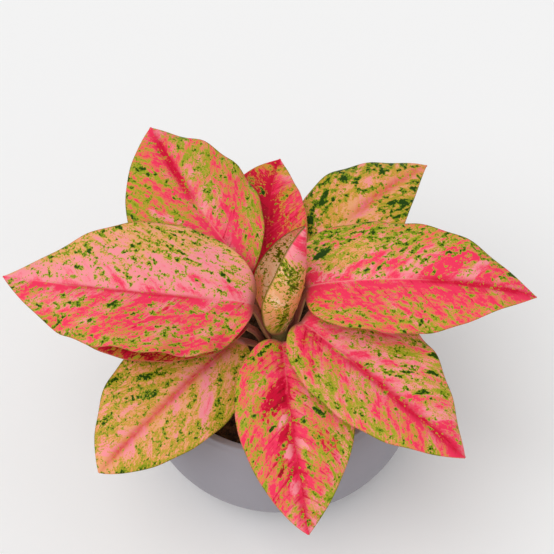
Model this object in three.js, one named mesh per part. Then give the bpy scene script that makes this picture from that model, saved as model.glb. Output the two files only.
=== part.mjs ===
// Potted Chinese evergreen (Aglaonema) in a round bowl pot. Millimetres, +Z up.
// The origin is the centre of the pot's flat base, on the pot's axis.
// The front of the plant faces -Y. Ten leaves grow round one short cane; each leaf, blade and
// stalk together, is one closed loft.

import * as THREE from 'three';

// ---------------------------------------------------------------- driving dimensions

const clearance = 0.3;            // between a leaf stalk and the cane, the soil and the pot

// bowl pot
const potHeight = 107;
const bellyRadius = 108;
const bellyHeight = 64;
const rimRadius = 98;
const baseRadius = 60;
const wallThickness = 6;
const rimRounding = 1.8;
const floorRounding = 12;         // inside, where the wall meets the floor
const roundSides = 44;            // of the pot and of the soil in it

// potting soil
const soilDepthBelowRim = 14;
const soilCrown = 7;              // how much higher the soil stands round the cane
const crownReach = 30;
const soilRelief = 1.6;           // height of its clods
const clodWaves = [0.31, 0.27, 0.17, 0.36];   // their wave numbers, per mm
const soilRows = [1, 0.9, 0.76, 0.62, 0.48, 0.35, 0.24, 0.15];   // shares of its radius
const holeDepth = 42;

// heights of the rings that the inside of the pot and the soil's flank share
const innerHeights = [potHeight - soilDepthBelowRim, 78, 64, 48, 32, 18, 10, wallThickness];

// cane
const caneRadius = 7.5;
const caneTopRadius = 6.5;
const caneTop = new THREE.Vector3(-1, -8, 146);
const caneNodes = 9;              // raised rings where leaves grew or grow
const nodeRelief = 0.3;
const nodeHalfHeight = 1.4;
const caneSides = 14;

// what every leaf shares
const bladeThickness = 0.9;
const stalkRadius = 2.7;
const sheathHalfWidth = 4.2;
const sheathHalfThickness = 1.9;
const ribWidth = 3;
const ribHeightAtTip = 0.3;
const ribFade = 0.4;              // exponent along the blade: below 1 the rib thins early
const smallestHalfWidth = 0.7;    // of the blunt end of the drip tip
const bendPower = 1.2;            // how late along the blade it bends
const steepest = 88;              // degrees
const kneeLift = 42;              // extra rise in degrees where the stalk turns into the blade
const kneeLength = 0.035;         // share of the blade over which it fades
const archFrom = [-0.02, 0.12];   // shares of the blade over which its arch sets in
const waveFade = 1.5;             // the wave dies out where the half is narrower than its share
const bladeSteps = 18;
const endCrowding = 0.45;         // how much closer the rings stand at the two ends
const stalkSteps = 7;
const stalkHandle = 0.4;          // shares of the run that the stalk's curve follows its seat
const bladeHandle = 0.25;         // and its blade
const stalkSpread = 0.35;         // how far a stalk leans out from the cane as it leaves it
const sheathFade = 1.5;           // exponent along the stalk
const youngStalkRings = [0, 0.35, 0.7];

const degree = Math.PI / 180;

// Each blade, seen from above with its base nearest: `left` and `right` are its two halves.
//   base       where the stalk meets the blade
//   heading    compass direction of the midrib at base and tip, degrees from +X towards +Y
//   pitch      its rise at base and tip, degrees
//   roll       turn about the midrib at base and tip, degrees; + lifts the left half
//   fold       rise of each half from the midrib, degrees
//   arch       how far each half bends back down to its margin, degrees; - curls it up
//   halfWidth  greatest width of the half
//   shoulder   exponent of the outline at the base: small is round, large is wedge-like
//   taper      exponent of the outline at the tip: above 1 makes a hollow drip tip
//   wave       margin undulation: height in mm, waves along the leaf, place of a crest
//   archFrom   shares of the blade over which the arch sets in, where they differ
//   stalk      height and direction round the cane where the leaf leaves it
const leaves = [
  {
    name: 'leaf_left', base: [-18, -17, 176], length: 184,
    heading: [186.6, 162.4], pitch: [12, -10], roll: [-14, -10], fold: 12,
    left: { halfWidth: 49, shoulder: 0.62, taper: 0.94, arch: [18, 24], wave: [9, 1.6, 0.42] },
    right: { halfWidth: 58, shoulder: 0.5, taper: 0.98, arch: [18, 24], wave: [6, 1.25, 0.63] },
    stalk: { height: 134, direction: 212 },
  },
  {
    name: 'leaf_right', base: [18, -2, 176], length: 169,
    heading: [-5.4, -3.4], pitch: [18, -20], roll: [14, 8], fold: 12,
    left: { halfWidth: 49, shoulder: 0.36, taper: 0.86, arch: [20, 24], wave: [5, 1.4, 0.66] },
    right: { halfWidth: 43.5, shoulder: 0.47, taper: 0.92, arch: [20, 24], wave: [8, 1.3, 0.2] },
    stalk: { height: 130, direction: 12 },
  },
  {
    name: 'leaf_back_left', base: [-22, 14, 172], length: 148,
    heading: [134, 113], pitch: [22, 2], roll: [0, 0], fold: 10,
    left: { halfWidth: 56, shoulder: 0.6, taper: 1.0, arch: [20, 24], wave: [2, 1.4, 0.3] },
    right: { halfWidth: 47, shoulder: 0.78, taper: 0.92, arch: [20, 24], wave: [3, 1.7, 0.75] },
    stalk: { height: 124, direction: 136 },
  },
  {
    name: 'leaf_front_right', base: [14, -24, 166], length: 153,
    heading: [-47, -37], pitch: [2, -23], roll: [0, 0], fold: 10,
    left: { halfWidth: 55, shoulder: 0.5, taper: 0.94, arch: [20, 26], wave: [3, 1.5, 0.65] },
    right: { halfWidth: 40.5, shoulder: 0.55, taper: 0.88, arch: [20, 26], wave: [2, 1.5, 0.3] },
    stalk: { height: 119, direction: -36 },
  },
  {
    name: 'leaf_front', base: [2, -35, 158], length: 145,
    heading: [-87, -78], pitch: [4, -42], roll: [0, 0], fold: 10,
    left: { halfWidth: 45, shoulder: 0.6, taper: 0.9, arch: [20, 26], wave: [2, 1.4, 0.6] },
    right: { halfWidth: 38, shoulder: 0.55, taper: 0.82, arch: [20, 26], wave: [2, 1.4, 0.75] },
    stalk: { height: 115, direction: -86 },
  },
  {
    name: 'leaf_back', base: [-9, 13, 159], length: 119,
    heading: [95, 76], pitch: [14, 0], roll: [0, 0], fold: 16,
    left: { halfWidth: 42, shoulder: 0.95, taper: 1.0, arch: [18, 22], wave: [2, 1.4, 0.4] },
    right: { halfWidth: 31, shoulder: 0.6, taper: 0.95, arch: [18, 22], wave: [2, 1.4, 0.6] },
    stalk: { height: 113, direction: 88 },
  },
  {
    name: 'leaf_front_left', base: [-28, -22, 144], length: 143,
    heading: [229, 221], pitch: [2, -28], roll: [-14, -14], fold: 10,
    left: { halfWidth: 40, shoulder: 0.62, taper: 0.8, arch: [20, 26], wave: [2, 1.5, 0.6] },
    right: { halfWidth: 44, shoulder: 0.85, taper: 0.82, arch: [20, 26], wave: [3, 1.5, 0.6] },
    stalk: { height: 108, direction: 234 },
  },
  {
    name: 'leaf_back_right', base: [12, 10, 152], length: 167,
    heading: [62, 38], pitch: [12, -8], roll: [0, 0], fold: 10,
    left: { halfWidth: 43, shoulder: 1.15, taper: 0.95, arch: [18, 22], wave: [2, 1.5, 0.55] },
    right: { halfWidth: 42, shoulder: 0.6, taper: 1.05, arch: [18, 22], wave: [2, 1.5, 0.75] },
    stalk: { height: 107, direction: 50 },
  },
  {
    name: 'leaf_left_lower', base: [-22, -22, 160], length: 140,
    heading: [186, 172], pitch: [6, -14], roll: [-8, -8], fold: 8,
    left: { halfWidth: 32, shoulder: 0.75, taper: 1.0, arch: [18, 22], wave: [2, 1.5, 0.4] },
    right: { halfWidth: 36, shoulder: 0.6, taper: 0.95, arch: [18, 22], wave: [2, 1.5, 0.6] },
    stalk: { height: 106, direction: 186 },
  },
];

// The youngest leaf is still rolled: its right half wraps round outside its left half.
const youngLeaf = {
  name: 'leaf_young', base: [4, -10, 150], length: 87,
  heading: [54, 50], pitch: [52, 107], roll: [-24, -20], fold: 0, archFrom: [-0.06, 0.04],
  left: { halfWidth: 38.5, shoulder: 0.42, taper: 0.92, arch: [-150, -70], wave: [0, 1, 0] },
  right: { halfWidth: 50, shoulder: 0.3, taper: 0.56, arch: [-148, -140], wave: [0, 1, 0] },
};

// ---------------------------------------------------------------- solids from rings

// Closed body through rings of points. A ring is an upper row from right to left followed by a
// lower row from left to right, seen along the direction of travel; the quads of both rows are
// split along the same diagonal, so a thin waved body never crosses itself.
function loft(rings) {
  const count = rings[0].length;
  const half = count / 2;
  const positions = rings.flat().flatMap((point) => point.toArray());
  const index = [];
  for (let i = 0; i + 1 < rings.length; i += 1) {
    for (let j = 0; j < count; j += 1) {
      const next = (j + 1) % count;
      const a = i * count + j;
      const b = i * count + next;
      const c = b + count;
      const d = a + count;
      if (j < half) {
        index.push(a, c, b, a, d, c);
      } else {
        index.push(a, d, b, b, d, c);
      }
    }
  }
  const last = (rings.length - 1) * count;
  for (let j = 0; j + 1 < half; j += 1) {
    const below = count - 1 - j;
    index.push(j, j + 1, below, j + 1, below - 1, below);
    index.push(last + j, last + below, last + j + 1);
    index.push(last + j + 1, last + below, last + below - 1);
  }
  const geometry = new THREE.BufferGeometry();
  geometry.setAttribute('position', new THREE.Float32BufferAttribute(positions, 3));
  geometry.setIndex(index);
  geometry.computeVertexNormals();
  return geometry;
}

function mix(from, to, amount) {
  return from + (to - from) * amount;
}

// ---------------------------------------------------------------- leaves

// Half-width of a half blade at s, 0 at the base and 1 at the tip:
// s^shoulder (1 - s)^taper, scaled to reach halfWidth at its peak.
function outline(side, s) {
  const peak = side.shoulder / (side.shoulder + side.taper);
  const rise = Math.pow(s / peak, side.shoulder);
  const fall = Math.pow((1 - s) / (1 - peak), side.taper);
  return side.halfWidth * rise * fall;
}

// Midrib of a blade: the direction turns evenly in heading and bends in pitch, and the place
// is its running sum.
function midrib(leaf) {
  const steps = 240;
  const direction = (s) => {
    const heading = mix(leaf.heading[0], leaf.heading[1], s) * degree;
    const knee = kneeLift * Math.exp(-s / kneeLength);
    const bend = mix(leaf.pitch[0], leaf.pitch[1], Math.pow(s, bendPower));
    const pitch = Math.min(bend + knee, steepest) * degree;
    const along = new THREE.Vector3(
      Math.cos(pitch) * Math.cos(heading), Math.cos(pitch) * Math.sin(heading), Math.sin(pitch));
    const across = new THREE.Vector3(-Math.sin(heading), Math.cos(heading), 0);
    return { along, across };
  };
  const places = [new THREE.Vector3(...leaf.base)];
  for (let i = 0; i < steps; i += 1) {
    const { along } = direction((i + 0.5) / steps);
    places.push(places[i].clone().addScaledVector(along, leaf.length / steps));
  }
  return (s) => {
    const place = places[Math.round(s * steps)];
    const { along, across } = direction(s);
    const up = along.clone().cross(across);
    const roll = mix(leaf.roll[0], leaf.roll[1], s) * degree;
    const left = across.clone().multiplyScalar(Math.cos(roll)).addScaledVector(up, Math.sin(roll));
    return { place, along, left, up: along.clone().cross(left) };
  };
}

// Point of a half blade at v, 0 on the midrib and 1 on the margin: the half leaves the midrib
// at the fold angle and bends along an arc, and its margin waves.
function halfSection(leaf, side, s, v) {
  const width = Math.hypot(outline(side, s), smallestHalfWidth);
  const fold = leaf.fold * degree;
  const setIn = THREE.MathUtils.smoothstep(s, ...(leaf.archFrom ?? archFrom));
  const arch = mix(side.arch[0], side.arch[1], s) * degree * setIn;
  const [height, waves, crest] = side.wave;
  const fading = Math.min(1, (waveFade * width) / side.halfWidth);
  const wave = height * fading * v * v * Math.cos(2 * Math.PI * waves * (s - crest));
  return {
    out: (width * (Math.sin(fold) - Math.sin(fold - arch * v))) / arch,
    rise: (width * (Math.cos(fold - arch * v) - Math.cos(fold))) / arch + wave,
    inward: fold - arch * v,
  };
}

// Ring of the blade at s, with a rib under the midrib that thins to the tip.
function bladeRing(leaf, frame, s, halfPoints) {
  const upper = [];
  const lower = [];
  for (let j = -halfPoints; j <= halfPoints; j += 1) {
    const v = Math.abs(j) / halfPoints;
    const side = j < 0 ? leaf.right : leaf.left;
    const sign = Math.sign(j);
    const { out, rise, inward } = halfSection(leaf, side, s, v);
    const rib = mix(2 * stalkRadius - bladeThickness, ribHeightAtTip, Math.pow(s, ribFade));
    const ribHere = v < 0.5 ? rib * Math.exp(-Math.pow(out / ribWidth, 2)) : 0;
    const normalOut = -Math.sin(inward) * sign;
    const normalUp = Math.cos(inward);
    const point = (depth) => frame.place.clone()
      .addScaledVector(frame.left, out * sign - normalOut * depth)
      .addScaledVector(frame.up, rise - normalUp * depth);
    upper.push(point(0));
    lower.unshift(point(bladeThickness + ribHere));
  }
  return [...upper, ...lower];
}

// Ring of the stalk: an oval whose upper point is the frame's place.
function stalkRing(frame, halfAcross, halfThick, halfPoints) {
  const reach = 80 * degree;
  const upper = [];
  const lower = [];
  for (let j = -halfPoints; j <= halfPoints; j += 1) {
    const angle = (reach * j) / halfPoints;
    const centre = frame.place.clone().addScaledVector(frame.left, halfAcross * Math.sin(angle));
    upper.push(centre.clone().addScaledVector(frame.up, halfThick * (Math.cos(angle) - 1)));
    lower.unshift(centre.clone().addScaledVector(frame.up, -halfThick * (Math.cos(angle) + 1)));
  }
  return [...upper, ...lower];
}

// Place of the cane's axis at a height.
function caneAxis(height) {
  const foot = potHeight - soilDepthBelowRim;
  const lean = THREE.MathUtils.smoothstep(height, foot, caneTop.z);
  return new THREE.Vector3(caneTop.x * lean, caneTop.y * lean, height);
}

function caneRadiusAt(height) {
  const foot = potHeight - soilDepthBelowRim;
  const share = THREE.MathUtils.clamp((height - foot) / (caneTop.z - foot), 0, 1);
  return mix(caneRadius, caneTopRadius, share);
}

// Stalk from its seat on the cane up to the blade, along a cubic curve.
function stalkRings(leaf, atBlade, halfPoints) {
  const direction = leaf.stalk.direction * degree;
  const outward = new THREE.Vector3(Math.cos(direction), Math.sin(direction), 0);
  const seat = caneAxis(leaf.stalk.height)
    .addScaledVector(outward, caneRadiusAt(leaf.stalk.height) + nodeRelief + clearance);
  const end = atBlade.place;
  const run = seat.distanceTo(end);
  const rising = outward.clone().multiplyScalar(stalkSpread).setZ(1);
  const curve = new THREE.CubicBezierCurve3(
    seat,
    seat.clone().addScaledVector(rising, run * stalkHandle),
    end.clone().addScaledVector(atBlade.along, -run * bladeHandle),
    end);
  const rings = [];
  for (let i = 0; i < stalkSteps; i += 1) {
    const t = i / stalkSteps;
    const along = curve.getTangent(t);
    const towards = outward.clone().lerp(atBlade.along, t);
    const left = new THREE.Vector3(-towards.y, towards.x, 0).normalize().lerp(atBlade.left, t * t);
    left.addScaledVector(along, -left.dot(along)).normalize();
    const frame = { place: curve.getPoint(t), left, up: along.clone().cross(left) };
    const sheath = Math.pow(1 - t, sheathFade);
    const halfAcross = mix(stalkRadius, sheathHalfWidth, sheath);
    const halfThick = mix(stalkRadius, sheathHalfThickness, sheath);
    rings.push(stalkRing(frame, halfAcross, halfThick, halfPoints));
  }
  return rings;
}

// Places along the blade, closer together at its two ends.
function bladeStations(steps) {
  return Array.from({ length: steps + 1 }, (_, i) => {
    const t = i / steps;
    return mix(t, 0.5 - 0.5 * Math.cos(Math.PI * t), endCrowding);
  });
}

function openLeaf(leaf) {
  const halfPoints = 4;
  const at = midrib(leaf);
  const blade = bladeStations(bladeSteps).map((s) => bladeRing(leaf, at(s), s, halfPoints));
  return loft([...stalkRings(leaf, at(0), halfPoints), ...blade]);
}

// The rolled leaf is a fuller loft, on a short stalk that carries on from the top of the cane.
function rolledLeaf(leaf) {
  const halfPoints = 8;
  const at = midrib(leaf);
  const blade = bladeStations(bladeSteps).map((s) => bladeRing(leaf, at(s), s, halfPoints));
  const start = at(0);
  const vertical = new THREE.Vector3(0, 0, 1);
  const levelUp = vertical.clone().cross(start.left);
  const foot = caneTop.clone().addScaledVector(vertical, clearance).addScaledVector(levelUp, stalkRadius);
  const rings = youngStalkRings.map((t) => {
    const up = levelUp.clone().lerp(start.up, t).normalize();
    const frame = { place: foot.clone().lerp(start.place, t), left: start.left, up };
    return stalkRing(frame, stalkRadius, stalkRadius, halfPoints);
  });
  return loft([...rings, ...blade]);
}

// ---------------------------------------------------------------- cane

// Cane from the bottom of its hole in the soil to its top, with a raised ring at each node.
function cane() {
  const bottom = potHeight - soilDepthBelowRim + soilCrown - holeDepth + clearance;
  const spacing = (caneTop.z - bottom) / (caneNodes + 1);
  const ringAt = (height, raised) => {
    return roundRing(caneAxis(height), caneRadiusAt(height) + raised, caneSides);
  };
  const rings = [ringAt(bottom, 0)];
  for (let i = 1; i <= caneNodes; i += 1) {
    const height = bottom + spacing * i;
    rings.push(ringAt(height - nodeHalfHeight, 0), ringAt(height, nodeRelief));
    rings.push(ringAt(height + nodeHalfHeight, 0));
  }
  rings.push(ringAt(caneTop.z, 0));
  return loft(rings);
}

// Level circle in the order that loft reads, an upper row and then a lower row.
function roundRing(centre, radius, sides) {
  return Array.from({ length: sides }, (_, k) => {
    const angle = (2 * Math.PI * (k + 0.5)) / sides;
    return new THREE.Vector3(
      centre.x - radius * Math.cos(angle), centre.y + radius * Math.sin(angle), centre.z);
  });
}

// ---------------------------------------------------------------- pot and soil

// Outer radius of the bowl: an ellipse from belly to rim, and a tighter one down to the base.
function bowlRadius(height) {
  if (height >= bellyHeight) {
    const reach = (potHeight - bellyHeight) / Math.sqrt(1 - Math.pow(rimRadius / bellyRadius, 2));
    return bellyRadius * Math.sqrt(1 - Math.pow((height - bellyHeight) / reach, 2));
  }
  const down = (bellyHeight - height) / bellyHeight;
  return baseRadius + (bellyRadius - baseRadius) * Math.sqrt(1 - down * down);
}

function pot() {
  const profile = [[0, 0]];
  const lowSteps = 8;
  for (let i = 0; i <= lowSteps; i += 1) {
    const turn = ((Math.PI / 2) * i) / lowSteps;
    const height = bellyHeight * (1 - Math.cos(turn));
    profile.push([bowlRadius(height), height]);
  }
  const highSteps = 4;
  for (let i = 1; i < highSteps; i += 1) {
    const height = mix(bellyHeight, potHeight - rimRounding, i / highSteps);
    profile.push([bowlRadius(height), height]);
  }
  const outer = bowlRadius(potHeight);
  const inner = outer - wallThickness;
  const cut = rimRounding * (1 - Math.SQRT1_2);
  profile.push([outer, potHeight - rimRounding]);
  profile.push([outer - cut, potHeight - cut]);
  profile.push([outer - rimRounding, potHeight]);
  profile.push([inner + rimRounding, potHeight]);
  profile.push([inner + cut, potHeight - cut]);
  profile.push([inner, potHeight - rimRounding]);
  for (const height of innerHeights) {
    profile.push([innerRadius(height), height]);
  }
  profile.push([0, wallThickness]);
  return lathe(profile, roundSides);
}

function innerRadius(height) {
  const lift = THREE.MathUtils.clamp((height - wallThickness) / floorRounding, 0, 1);
  return bowlRadius(height) - wallThickness - floorRounding * (1 - Math.sqrt(lift * (2 - lift)));
}

// Soil fills the bowl to below the rim, stands a little higher round the cane, and has clods.
// It has one plain hole, for the cane.
function soil() {
  const surface = potHeight - soilDepthBelowRim;
  const hole = caneRadius + nodeRelief + clearance;
  const crown = (radius) => surface + soilCrown * Math.exp(-Math.pow(radius / crownReach, 2));
  const profile = [[0, wallThickness + clearance]];
  for (const height of innerHeights.slice().reverse()) {
    if (height < surface) {
      const lifted = Math.max(height, wallThickness + clearance);
      profile.push([innerRadius(height) - clearance, lifted]);
    }
  }
  const wall = innerRadius(surface) - clearance;
  for (const row of soilRows) {
    profile.push([wall * row, crown(wall * row)]);
  }
  profile.push([hole, crown(hole)]);
  profile.push([hole, surface + soilCrown - holeDepth]);
  profile.push([0, surface + soilCrown - holeDepth]);
  const geometry = lathe(profile, roundSides);
  const place = geometry.attributes.position;
  const [a, b, c, d] = clodWaves;
  for (let i = 0; i < place.count; i += 1) {
    const x = place.getX(i);
    const y = place.getY(i);
    const radius = Math.hypot(x, y);
    if (radius < wall - 2 && radius > hole + 2 && place.getZ(i) >= surface) {
      const clod = Math.sin(a * x + 1) * Math.cos(b * y) + Math.sin(c * x - d * y);
      place.setZ(i, place.getZ(i) + 0.5 * soilRelief * clod);
    }
  }
  geometry.computeVertexNormals();
  return geometry;
}

// Lathe about +Z of a profile of [radius, height] points, listed from the axis outwards.
function lathe(profile, sides) {
  const points = profile.map(([radius, height]) => new THREE.Vector2(radius, height));
  return new THREE.LatheGeometry(points, sides).rotateX(Math.PI / 2);
}

// ---------------------------------------------------------------- assembly

const group = new THREE.Group();

function addPiece(name, geometry, colour, roughness, metalness = 0) {
  const material = new THREE.MeshStandardMaterial({ color: colour, roughness, metalness });
  const mesh = new THREE.Mesh(geometry, material);
  mesh.name = name;
  group.add(mesh);
}

addPiece('pot', pot(), 0x98969f, 0.6);
addPiece('soil', soil(), 0x3a2a20, 0.95);
addPiece('cane', cane(), 0x9a8f5a, 0.6);
for (const leaf of leaves) {
  addPiece(leaf.name, openLeaf(leaf), 0xe06a5f, 0.5);
}
addPiece(youngLeaf.name, rolledLeaf(youngLeaf), 0xe8b88e, 0.5);

export default group;
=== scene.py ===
"""Potted Chinese evergreen: ten flecked pink leaves round a short cane, in a grey bowl of soil.

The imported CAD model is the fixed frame. Every leaf, the cane, the soil and the pot are worked out
again from the same formulas on finer grids, and get their veins, crumbs and finish here.
Lengths are in metres; the leaf table below gives them in millimetres, as such a plant is measured.
"""

from collections import namedtuple

import bpy
import numpy as np
from bpy.props import FloatProperty, FloatVectorProperty, IntProperty, PointerProperty
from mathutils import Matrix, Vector


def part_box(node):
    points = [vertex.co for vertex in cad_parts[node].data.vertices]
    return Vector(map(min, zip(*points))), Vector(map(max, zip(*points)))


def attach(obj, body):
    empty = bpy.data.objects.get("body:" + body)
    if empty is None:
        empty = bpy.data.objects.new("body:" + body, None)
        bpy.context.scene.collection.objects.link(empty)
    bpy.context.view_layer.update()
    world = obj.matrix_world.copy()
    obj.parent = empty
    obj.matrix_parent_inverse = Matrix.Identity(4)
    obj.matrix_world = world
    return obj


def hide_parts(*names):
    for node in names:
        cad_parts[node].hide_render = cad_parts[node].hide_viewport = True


bl_info = {
    "name": "Potted Chinese Evergreen",
    "version": (1, 0, 0),
    "blender": (4, 5, 0),
    "location": "3D View > Sidebar > Evergreen",
    "description": "Builds a pink Chinese evergreen in a round grey bowl pot",
    "category": "Object",
}

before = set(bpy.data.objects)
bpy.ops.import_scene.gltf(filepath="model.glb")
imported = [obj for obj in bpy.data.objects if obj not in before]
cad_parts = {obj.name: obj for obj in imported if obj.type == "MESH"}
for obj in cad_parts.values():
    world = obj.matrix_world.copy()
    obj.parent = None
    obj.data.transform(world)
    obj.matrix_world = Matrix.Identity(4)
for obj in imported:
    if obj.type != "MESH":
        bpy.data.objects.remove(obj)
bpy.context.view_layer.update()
MM = 0.001

_, POT_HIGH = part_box("pot")
SOIL_LOW, SOIL_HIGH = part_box("soil")
CANE_LOW, CANE_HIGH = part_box("cane")

# ---- the leaves

# A half blade: greatest width in mm, exponents of its outline at the base and at the tip, bend
# down to its margin in degrees at base and tip, and the margin's wave and finer ripple (height in
# mm, waves along the blade, place of a crest).
Half = namedtuple("Half", "width shoulder taper arch wave ripple", defaults=[(0.8, 5, 0.1)])

# A leaf: place where the stalk meets the blade and blade length in mm; heading, pitch and roll of
# the midrib at base and tip and rise of each half from it, in degrees; the two halves; and the
# height in mm and direction in degrees at which the stalk leaves the cane. Its arch sets in over
# `arch_from`, shares of the blade.
Leaf = namedtuple(
    "Leaf", "name base length heading pitch roll fold left right stalk look arch_from",
    defaults=[(-0.02, 0.12)])

# How a leaf is coloured. Its seed picks the noise. Four numbers are for the left half near the
# midrib and at the margin and for the right half likewise. `haze` is how much lime lies over the
# flesh, `speck` how thickly green specks are strewn, `pale` how pale the pink is (0.5 salmon, 1.5
# peach, 2.6 cream) and `deep` how crimson. `band` is a crimson band along the midrib: strength,
# half-width in mm and the shares of the blade from and to which it runs. `line` is how plain the
# midrib's pale line is, `grain` scales the specks, and `tan` turns the lime towards ochre.
Look = namedtuple(
    "Look", "seed haze speck pale deep band line patches grain tan", defaults=[(), 1.0, 0.0])

# A patch, a row in `patches`, lies along a lateral vein: where its vein leaves the midrib and how
# far out along it the patch is centred, in mm (out is negative on the right half), its half-length
# along the vein and half-width across, and what it adds to haze, specks, paleness and crimson.
Patch = namedtuple("Patch", "start out long wide haze speck pale deep", defaults=[0.0, 0.0])

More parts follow.
